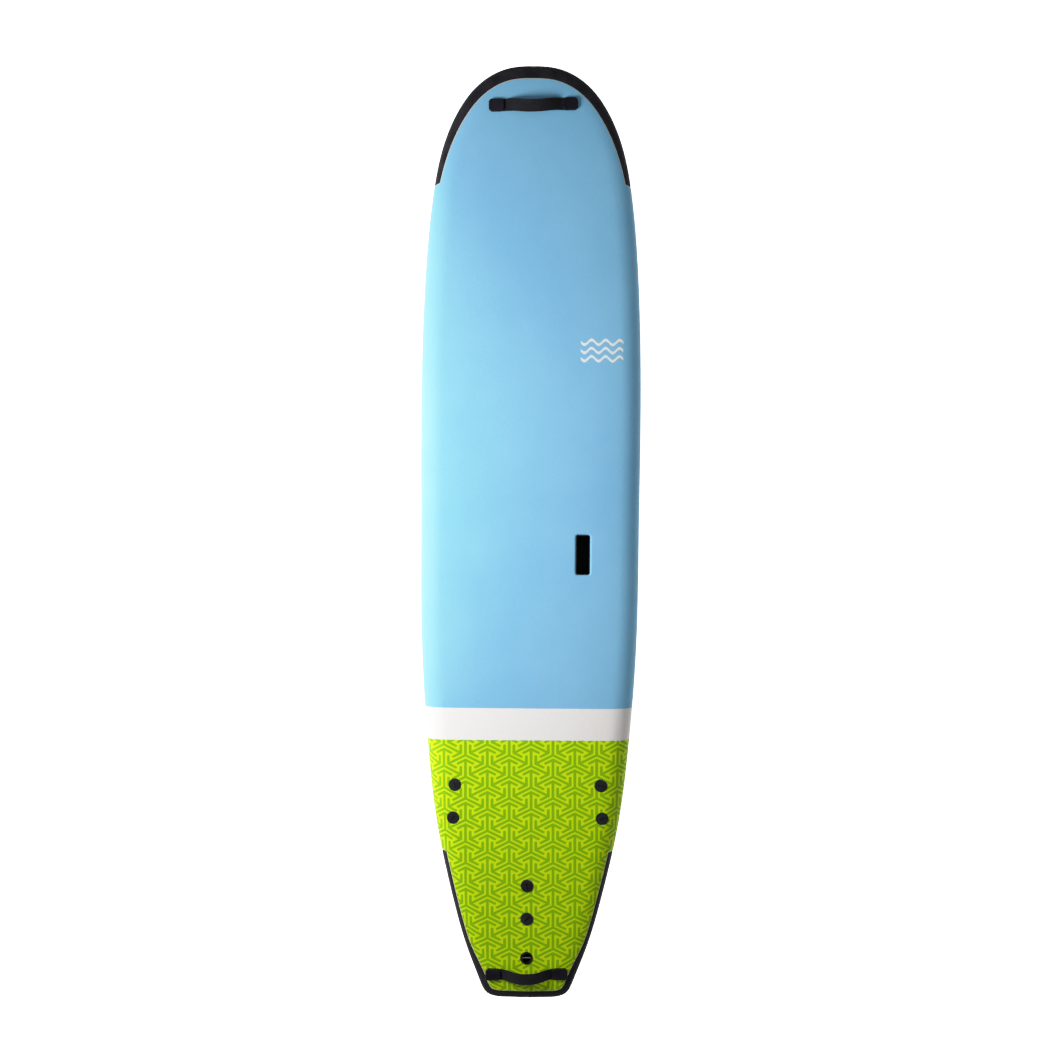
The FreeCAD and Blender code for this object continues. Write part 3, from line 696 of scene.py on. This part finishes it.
def tube_faces(count, ring, side):
    """The faces of a tube of count rings, closed at both ends and facing out on either side."""
    faces = []
    for i in range(count - 1):
        for j in range(ring):
            a, b = i * ring + j, i * ring + (j + 1) % ring
            faces.append((a, b, b + ring, a + ring) if side < 0 else (a, a + ring, b + ring, b))
    first, last = range(ring), range((count - 1) * ring, count * ring)
    return faces + ([first[::-1], last] if side < 0 else [first, last[::-1]])


def webbing_section(width):
    """The strap's section, as (across, off) points: rounded hems, low ribs on the upper face."""
    half, thick = width / 2, STRAP_THICK / 2
    body = thick * BODY_SHARE
    upper = []
    for i in range(RIB_STEPS + 1):
        across = -half + HEM_WIDE + (width - 2 * HEM_WIDE) * i / RIB_STEPS
        wave = 0.5 - 0.5 * math.cos(2 * math.pi * RIBS * i / RIB_STEPS)
        upper.append((across, body + (thick - body) * RIB_SHARE * wave))
    hem = []
    for i in range(HEM_STEPS + 1):
        angle = math.pi * (0.5 - i / HEM_STEPS)
        across = half - HEM_WIDE / 2 + HEM_WIDE / 2 * math.cos(angle)
        hem.append((across, thick * math.sin(angle)))
    right = [(half - HEM_WIDE, body * HEM_INNER)] + hem + [(half - HEM_WIDE, -body)]
    left = [(-across, off) for across, off in right[::-1]]
    return upper[1:-1] + right + left


# ---------------------------------------------------------------- materials

class Paint:
    """A material being made: each call adds one node and returns its output."""

    def __init__(self, name, roughness=0.5, **settings):
        self.material = bpy.data.materials.new(name)
        self.material.use_nodes = True
        self.tree = self.material.node_tree
        self.shader = self.tree.nodes["Principled BSDF"]
        self.shader.inputs["Roughness"].default_value = roughness
        for socket, value in settings.items():
            self.shader.inputs[socket.replace("_", " ")].default_value = value
        self.place = self.node("ShaderNodeTexCoord").outputs["Object"]

    def node(self, kind, inputs=(), **settings):
        made = self.tree.nodes.new(kind)
        for name, value in settings.items():
            setattr(made, name, value)
        for key, value in dict(inputs).items():
            self.feed(made.inputs[key], value)
        return made

    def feed(self, socket, value):
        if isinstance(value, bpy.types.NodeSocket):
            self.tree.links.new(value, socket)
        else:
            socket.default_value = value

    def math(self, operation, *values):
        made = self.node("ShaderNodeMath", operation=operation)
        for socket, value in zip(made.inputs, values):
            self.feed(socket, value)
        return made.outputs[0]

    def length(self, first, second):
        """The length of a plan vector."""
        squares = [self.math("POWER", value, 2.0) for value in (first, second)]
        return self.math("SQRT", self.math("ADD", *squares))

    def turned(self, x, y, angle):
        """A place in plan, as seen from axes turned by an angle."""
        cos, sin = math.cos(angle), math.sin(angle)
        new_x = self.math("ADD", self.math("MULTIPLY", x, cos), self.math("MULTIPLY", y, sin))
        new_y = self.math("SUBTRACT", self.math("MULTIPLY", y, cos), self.math("MULTIPLY", x, sin))
        return new_x, new_y

    def ramp(self, value, low, high, out_low=0.0, out_high=1.0):
        inputs = {"Value": value, "From Min": low, "From Max": high,
                  "To Min": out_low, "To Max": out_high}
        made = self.node("ShaderNodeMapRange", inputs, interpolation_type="SMOOTHSTEP")
        return made.outputs["Result"]

    def below(self, value, limit, soft):
        """1 where a value is below a limit, 0 above it, with a soft change between."""
        return self.ramp(value, limit - soft, limit + soft, 1.0, 0.0)

    def mix(self, factor, first, second, blend="MIX"):
        inputs = {0: factor, 6: first, 7: second}
        made = self.node("ShaderNodeMix", data_type="RGBA", blend_type=blend)
        for socket, value in inputs.items():
            self.feed(made.inputs[socket], value)
        return made.outputs[2]

    def noise(self, scale, detail=3.0, place=None, roughness=0.55):
        """Smooth noise, about 0.3 to 0.7."""
        inputs = {"Vector": place or self.place, "Scale": scale,
                  "Detail": detail, "Roughness": roughness}
        return self.node("ShaderNodeTexNoise", inputs).outputs["Fac"]

    def cells(self, scale, place=None, feature="F1"):
        inputs = {"Vector": place or self.place, "Scale": scale}
        return self.node("ShaderNodeTexVoronoi", inputs, feature=feature).outputs["Distance"]

    def stretched(self, scale, turn=0.0):
        inputs = {"Vector": self.place, "Scale": scale, "Rotation": (0, 0, turn)}
        return self.node("ShaderNodeMapping", inputs).outputs[0]

    def bump(self, height, distance, strength=1.0, normal=None):
        inputs = {"Height": height, "Distance": distance, "Strength": strength}
        if normal is not None:
            inputs["Normal"] = normal
        return self.node("ShaderNodeBump", inputs).outputs[0]

    def finish(self, colour, roughness=None, normal=None):
        self.feed(self.shader.inputs["Base Color"], colour)
        if roughness is not None:
            self.feed(self.shader.inputs["Roughness"], roughness)
        if normal is not None:
            self.feed(self.shader.inputs["Normal"], normal)
        return self.material

    def split(self, vector):
        return self.node("ShaderNodeSeparateXYZ", {"Vector": vector}).outputs

    def painted_slot_shade(self):
        """Painted shade: 1 on open faces, falling towards 0 down in slots and corners, where less
        light reaches.
        """
        look = self.node("ShaderNodeAmbientOcclusion", {"Distance": 0.004}, samples=4)
        return self.ramp(look.outputs["AO"], 0.25, 0.85, 0.12, 1.0)

    def worn(self, amount=0.55):
        """Near 1 where the surface turns sharply outward, broken up by noise."""
        sharp = self.node("ShaderNodeNewGeometry").outputs["Pointiness"]
        edge = self.ramp(sharp, 0.52, 0.62)
        patches = self.ramp(self.noise(90.0, 4.0), 0.42, 0.68)
        return self.math("MULTIPLY", self.math("MULTIPLY", edge, patches), amount)


def rgb(red, green, blue):
    """A colour given as 0 to 255 sRGB values, as the shader wants it."""
    def linear(value):
        value /= 255
        return value / 12.92 if value <= 0.04045 else ((value + 0.055) / 1.055) ** 2.4
    return (linear(red), linear(green), linear(blue), 1.0)


def arm_distance(paint, x, y):
    """Distance to the nearest upright arm of the lattice, or to its arrow head."""
    column = LATTICE * math.sqrt(3) / 2
    index = paint.math("ROUND", paint.math("DIVIDE", x, column))
    across = paint.math("SUBTRACT", x, paint.math("MULTIPLY", index, column))
    across = paint.math("ABSOLUTE", across)
    shifted = paint.math("MULTIPLY_ADD", index, LATTICE / 2, y)
    along = paint.math("FLOORED_MODULO", paint.math("ADD", shifted, LINE_WIDE), LATTICE)
    along = paint.math("SUBTRACT", along, LINE_WIDE)
    down = paint.math("SUBTRACT", along, ARM_LONG)
    past = paint.math("MAXIMUM", down, paint.math("MULTIPLY", along, -1.0))
    stem = paint.length(across, paint.math("MAXIMUM", past, 0.0))
    reach, off = paint.turned(across, down, -BARB_ANGLE)
    beyond = paint.math("MAXIMUM", paint.math("SUBTRACT", reach, BARB_LONG), 0.0)
    behind = paint.math("LESS_THAN", reach, -LINE_WIDE / 2)
    barb = paint.math("ADD", paint.length(off, beyond), behind)
    return paint.math("MINIMUM", stem, barb)


def arrow_lattice(paint, x, y):
    """Near 1 on the dark lines of the tail print."""
    x = paint.math("DIVIDE", x, LATTICE_STRETCH)
    nearest = None
    for turn in range(3):
        found = arm_distance(paint, *paint.turned(x, y, math.radians(120 * turn)))
        nearest = found if nearest is None else paint.math("MINIMUM", nearest, found)
    return paint.ramp(nearest, LINE_WIDE * 0.36, LINE_WIDE * 0.64, 1.0, 0.0)


def wave_mark(paint, x, y):
    """Near 1 on the three wave lines."""
    x = paint.math("SUBTRACT", x, WAVES_AT[0])
    y = paint.math("SUBTRACT", y, WAVES_AT[1])
    wave = paint.math("SINE", paint.math("MULTIPLY", x, 2 * math.pi / WAVE_LONG))
    y = paint.math("SUBTRACT", y, paint.math("MULTIPLY", wave, WAVE_HIGH))
    nearest = None
    for row in (-1, 0, 1):
        off = paint.math("ABSOLUTE", paint.math("SUBTRACT", y, row * WAVE_GAP))
        nearest = off if nearest is None else paint.math("MINIMUM", nearest, off)
    line = paint.below(nearest, WAVE_LINE / 2, WAVE_SOFT)
    end = paint.below(paint.math("ABSOLUTE", x), WAVES_WIDE / 2, WAVE_SOFT)
    return paint.math("MULTIPLY", line, end)


def foam_grain(paint):
    """The deck foam's closed-cell skin: fine pebbles under a slow, soft unevenness."""
    pebbles = paint.cells(620.0)
    fine = paint.noise(240.0, 4.0)
    broad = paint.noise(16.0, 2.0)
    return pebbles, fine, broad


def deck_material():
    paint = Paint("deck_foam", roughness=0.55, Specular_IOR_Level=0.15)
    place = paint.node("ShaderNodeAttribute", attribute_name="flat_place").outputs["Vector"]
    x, y, _ = paint.split(place)
    mark = wave_mark(paint, x, y)
    _, along, _ = paint.split(paint.place)
    pebbles, fine, broad = foam_grain(paint)

    wide_noise = paint.noise(3.2, 3.0)
    blue = paint.mix(paint.ramp(wide_noise, 0.3, 0.7), rgb(126, 190, 230), rgb(134, 196, 234))
    blue = paint.mix(mark, blue, rgb(238, 240, 236))
    white = rgb(244, 241, 238)
    from_x, from_y = (paint.math("SUBTRACT", value, at) for value, at in zip((x, y), PRINT_AT))
    lines = arrow_lattice(paint, *paint.turned(from_x, from_y, PRINT_TURN))
    light = paint.mix(paint.ramp(fine, 0.35, 0.65), rgb(206, 236, 0), rgb(214, 241, 1))
    dark = paint.mix(paint.ramp(fine, 0.35, 0.65), rgb(130, 187, 0), rgb(138, 193, 0))
    green = paint.mix(lines, light, dark)

    ragged = paint.math("MULTIPLY_ADD", paint.math("SUBTRACT", fine, 0.5), BAND_RAGGED, along)
    below_blue = paint.below(ragged, BLUE_END, BAND_SOFT)
    below_white = paint.below(ragged, WHITE_END, BAND_SOFT)
    colour = paint.mix(below_blue, blue, white)
    colour = paint.mix(below_white, colour, green)
    mottle = paint.ramp(fine, 0.3, 0.7, 0.0, 0.06)
    colour = paint.mix(mottle, colour, rgb(150, 160, 160), "MULTIPLY")
    pits = paint.ramp(pebbles, 0.2, 0.75, 0.0, 0.07)
    colour = paint.mix(pits, colour, rgb(70, 90, 90), "MULTIPLY")
    foam = paint.node("ShaderNodeAttribute", attribute_name="cut_edge").outputs["Fac"]
    colour = paint.mix(paint.ramp(foam, 0.35, 0.65), colour, rgb(228, 216, 182))

    pressed = paint.math("MULTIPLY", lines, below_white)
    normal = paint.bump(pressed, -0.0006, 0.8)
    normal = paint.bump(broad, 0.0012, 0.5, normal)
    normal = paint.bump(fine, 0.0006, 0.35, normal)
    normal = paint.bump(pebbles, 0.0005, 0.35, normal)
    return paint.finish(colour, paint.ramp(fine, 0.3, 0.7, 0.48, 0.62), normal)


def rubber_material(name, dark, light, grain, roughness):
    """Moulded black rubber or plastic: fine grain, dusty mottle, paler where it has rubbed, and
    painted shade down in slots and corners.
    """
    paint = Paint(name, Specular_IOR_Level=0.1)
    grains = paint.cells(grain)
    mottle = paint.noise(26.0, 5.0)
    colour = paint.mix(paint.ramp(mottle, 0.3, 0.72), dark, light)
    colour = paint.mix(paint.worn(0.4), colour, rgb(74, 74, 78))
    # Painted shade: the colour is darkened down in slots and corners, where the occlusion finds
    # little open sky.
    colour = paint.mix(1.0, colour, paint.painted_slot_shade(), "MULTIPLY")
    normal = paint.bump(grains, 0.0004, 0.35)
    normal = paint.bump(paint.noise(9.0, 3.0), 0.0015, 0.25, normal)
    return paint.finish(colour, paint.ramp(mottle, 0.3, 0.7, *roughness), normal)


def webbing_material():
    """Black woven webbing: a fine herringbone of ribs, a little fuzz and dust."""
    paint = Paint("strap_webbing", roughness=0.7, Specular_IOR_Level=0.2)
    x, y, z = paint.split(paint.place)
    long_way = paint.math("ADD", x, paint.math("MULTIPLY", z, 0.6))
    fold = paint.math("PINGPONG", y, 0.004)
    slanted = paint.math("ADD", long_way, paint.math("MULTIPLY", fold, 0.6))
    picks = paint.math("SINE", paint.math("MULTIPLY", slanted, 2 * math.pi / 0.0019))
    ends = paint.math("SINE", paint.math("MULTIPLY", y, 2 * math.pi / 0.0013))
    weave = paint.math("MULTIPLY_ADD", paint.math("MULTIPLY", picks, ends), 0.5, 0.5)
    dust = paint.noise(60.0, 5.0)
    colour = paint.mix(weave, rgb(13, 12, 17), rgb(29, 28, 36))
    colour = paint.mix(paint.ramp(dust, 0.45, 0.8, 0.0, 0.2), colour, rgb(50, 49, 58))
    normal = paint.bump(weave, 0.0005, 0.7)
    normal = paint.bump(dust, 0.0006, 0.3, normal)
    return paint.finish(colour, paint.ramp(dust, 0.3, 0.7, 0.6, 0.85), normal)


def slick_material():
    """The hard, glossy bottom sheet: faint orange peel, long fine scratches."""
    paint = Paint("slick_bottom", Coat_Weight=0.25, Coat_Roughness=0.12)
    scratches = paint.noise(1.0, 6.0, paint.stretched((260.0, 5.0, 120.0), 0.06))
    peel = paint.noise(70.0, 2.0)
    cloud = paint.noise(2.2, 3.0)
    colour = paint.mix(paint.ramp(cloud, 0.3, 0.7), rgb(212, 213, 212), rgb(220, 221, 219))
    colour = paint.mix(paint.ramp(scratches, 0.62, 0.75, 0.0, 0.5), colour, rgb(182, 184, 184))
    normal = paint.bump(peel, 0.0004, 0.25)
    normal = paint.bump(scratches, 0.0004, 0.2, normal)
    return paint.finish(colour, paint.ramp(scratches, 0.4, 0.75, 0.24, 0.5), normal)


def foam_core_material():
    paint = Paint("foam_core", roughness=0.8)
    beads = paint.cells(230.0)
    edges = paint.cells(230.0, feature="DISTANCE_TO_EDGE")
    colour = paint.mix(paint.ramp(edges, 0.0, 0.12), rgb(206, 206, 200), rgb(240, 240, 236))
    yellowed = paint.ramp(paint.noise(5.0), 0.3, 0.7, 0.0, 0.25)
    colour = paint.mix(yellowed, colour, rgb(228, 224, 208))
    return paint.finish(colour, None, paint.bump(beads, -0.0012, 0.5))


def wood_material():
    """Thin plywood stringers: long grain with darker winter lines."""
    paint = Paint("stringer_wood", roughness=0.55)
    grain = paint.noise(1.0, 6.0, paint.stretched((90.0, 2.2, 70.0)))
    colour = paint.mix(paint.ramp(grain, 0.32, 0.68), rgb(168, 122, 76), rgb(214, 176, 126))
    fibres = paint.noise(1.0, 3.0, paint.stretched((900.0, 16.0, 700.0)))
    colour = paint.mix(paint.ramp(fibres, 0.5, 0.75, 0.0, 0.3), colour, rgb(120, 82, 48))
    roughness = paint.ramp(grain, 0.3, 0.7, 0.45, 0.65)
    return paint.finish(colour, roughness, paint.bump(fibres, 0.0003, 0.5))


def metal_material(name, bright, dull, polish):
    """Turned metal with faint machining lines and stains."""
    paint = Paint(name, Metallic=1.0)
    stains = paint.noise(180.0, 5.0)
    lines = paint.noise(1.0, 2.0, paint.stretched((200.0, 200.0, 3000.0)))
    colour = paint.mix(paint.ramp(stains, 0.35, 0.75), bright, dull)
    roughness = paint.ramp(stains, 0.3, 0.75, *polish)
    return paint.finish(colour, roughness, paint.bump(lines, 0.0001, 0.4))


def fin_material():
    """Black glass-filled nylon fins: satin, with flow marks along the blade."""
    paint = Paint("fin_plastic", Coat_Weight=0.1, Coat_Roughness=0.3)
    flow = paint.noise(1.0, 5.0, paint.stretched((60.0, 9.0, 30.0), 0.1))
    specks = paint.noise(480.0, 2.0)
    colour = paint.mix(paint.ramp(flow, 0.3, 0.7), rgb(24, 25, 28), rgb(40, 41, 45))
    colour = paint.mix(paint.ramp(specks, 0.62, 0.78, 0.0, 0.4), colour, rgb(74, 74, 78))
    colour = paint.mix(paint.worn(0.35), colour, rgb(110, 110, 114))
    roughness = paint.ramp(flow, 0.3, 0.7, 0.32, 0.5)
    return paint.finish(colour, roughness, paint.bump(specks, 0.0003, 0.3))


def nylon_material(name, first, second):
    """Pale moulded nylon: slightly cloudy and satin."""
    paint = Paint(name)
    cloud = paint.noise(40.0, 4.0)
    colour = paint.mix(paint.ramp(cloud, 0.3, 0.7), first, second)
    roughness = paint.ramp(cloud, 0.3, 0.7, 0.35, 0.5)
    return paint.finish(colour, roughness, paint.bump(paint.noise(300.0), 0.0002, 0.3))


def make_materials():
    """The finish of each of the record's material slots."""
    made = {
        "deck_foam": deck_material(),
        "strap_webbing": webbing_material(),
        "slick_bottom": slick_material(),
        "foam_core": foam_core_material(),
        "stringer_wood": wood_material(),
        "fin_plastic": fin_material(),
        "fitting_nylon": nylon_material("fitting_nylon", rgb(206, 202, 190), rgb(222, 219, 208)),
    }
    for name, dark, light, grain, roughness in (
        ("bumper_rubber", rgb(29, 28, 33), rgb(44, 42, 48), 420.0, (0.5, 0.68)),
        ("washer_rubber", rgb(30, 30, 30), rgb(46, 45, 44), 420.0, (0.5, 0.68)),
        ("cap_plastic", rgb(21, 20, 26), rgb(32, 31, 39), 520.0, (0.4, 0.55)),
        ("cup_plastic", rgb(8, 8, 9), rgb(14, 14, 16), 520.0, (0.42, 0.6)),
        ("bolt_nylon", rgb(28, 29, 33), rgb(39, 40, 45), 640.0, (0.4, 0.55)),
    ):
        made[name] = rubber_material(name, dark, light, grain, roughness)
    for name, bright, dull, polish in (
        ("screw_steel", rgb(176, 178, 180), rgb(140, 141, 142), (0.22, 0.4)),
        ("pin_steel", rgb(190, 192, 194), rgb(150, 152, 154), (0.18, 0.34)),
        ("insert_brass", rgb(206, 170, 92), rgb(168, 134, 70), (0.24, 0.42)),
    ):
        made[name] = metal_material(name, bright, dull, polish)
    return made


def dress(materials):
    """Puts each slot's finish on the frame's nodes and on the new pieces."""
    slots = {m["slot"]: materials[m["slot"]] for m in frame["record"]["materials"]}
    for node in frame["nodes"].values():
        for slot in node.material_slots:
            name = slot.material.name.split(".")[0] if slot.material else ""
            if name in slots:
                slot.material = slots[name]
    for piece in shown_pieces():
        name = piece.get("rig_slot")
        if name:
            piece.data.materials.clear()
            piece.data.materials.append(slots[name])


# ---------------------------------------------------------------- floor, lights, camera

def add_floor():
    """A pale floor under the board, white to the camera and clear from below."""
    corners = [(x * FLOOR_HALF, y * FLOOR_HALF, 0) for x, y in ((-1, -1), (1, -1), (1, 1), (-1, 1))]
    floor = mesh_object("floor", corners, [(0, 1, 2, 3)])
    floor.location.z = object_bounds()[0].z - FLOOR_GAP
    paint = Paint("floor_pale", roughness=0.9)
    cloud = paint.ramp(paint.noise(0.8), 0.3, 0.7)
    colour = paint.mix(cloud, rgb(250, 250, 250), rgb(252, 252, 252))
    seen = paint.node("ShaderNodeLightPath").outputs["Is Camera Ray"]
    glow = paint.ramp(seen, 0, 1, FLOOR_GLOW, BACKDROP)
    paint.feed(paint.shader.inputs["Emission Strength"], glow)
    paint.shader.inputs["Emission Color"].default_value = rgb(255, 255, 255)
    under = paint.node("ShaderNodeNewGeometry").outputs["Backfacing"]
    clear = paint.node("ShaderNodeBsdfTransparent").outputs[0]
    both = paint.node("ShaderNodeMixShader", {0: under, 1: paint.shader.outputs[0], 2: clear})
    paint.feed(paint.tree.nodes["Material Output"].inputs["Surface"], both.outputs[0])
    floor.data.materials.append(paint.finish(colour))


def add_key_light():
    """One soft square light, low over the left rail."""
    lamp = bpy.data.lights.new("key", "AREA")
    lamp.shape = "SQUARE"
    lamp.size = KEY_SIZE
    lamp.energy = KEY_POWER
    holder = bpy.data.objects.new("key", lamp)
    holder.location = KEY_AT
    aim = Vector(KEY_AIM) - Vector(KEY_AT)
    holder.rotation_euler = aim.to_track_quat("-Z", "Y").to_euler()
    holder.visible_camera = False
    bpy.context.scene.collection.objects.link(holder)


def set_response():
    """The film's response, as a curve from light to shown brightness."""
    scene = bpy.context.scene
    scene.view_settings.view_transform = "Standard"
    scene.view_settings.use_curve_mapping = True
    response = scene.view_settings.curve_mapping
    response.white_level = (BRIGHTEST, BRIGHTEST, BRIGHTEST)
    curve = response.curves[3]
    curve.points[0].location = RESPONSE[0]
    curve.points[-1].location = (1, RESPONSE[-1][1])
    for bright, shown in RESPONSE[1:-1]:
        curve.points.new(bright / BRIGHTEST, shown)
    response.update()


def add_world():
    """Even light from all round, with a white backdrop that only the camera sees."""
    world = bpy.data.worlds.new("studio")
    world.use_nodes = True
    nodes, links = world.node_tree.nodes, world.node_tree.links
    nodes["Background"].inputs["Strength"].default_value = SKY_LIGHT
    seen = nodes.new("ShaderNodeBackground")
    choose = nodes.new("ShaderNodeMixShader")
    for background in (nodes["Background"], seen):
        background.inputs["Color"].default_value = (1, 1, 1, 1)
    links.new(nodes.new("ShaderNodeLightPath").outputs["Is Camera Ray"], choose.inputs[0])
    seen.inputs["Strength"].default_value = BACKDROP
    links.new(nodes["Background"].outputs[0], choose.inputs[1])
    links.new(seen.outputs[0], choose.inputs[2])
    links.new(choose.outputs[0], nodes["World Output"].inputs[0])
    bpy.context.scene.world = world


def add_camera():
    lens = bpy.data.cameras.new("camera")
    lens.sensor_width = SENSOR
    lens.lens = CAMERA_LENS
    lens.clip_end = CAMERA_REACH
    camera = bpy.data.objects.new("camera", lens)
    camera.location = (0, CAMERA_AHEAD, CAMERA_HEIGHT)
    camera.rotation_euler = (0, 0, CAMERA_ROLL)
    bpy.context.scene.collection.objects.link(camera)
    bpy.context.scene.camera = camera


# ---------------------------------------------------------------- the whole scene

add_skins()
for handle in (Handle("nose", **NOSE_STRAP), Handle("tail", **TAIL_STRAP)):
    for side in (-1, 1):
        handle.half(side)
dress(make_materials())
add_floor()
set_response()
add_world()
add_key_light()
add_camera()
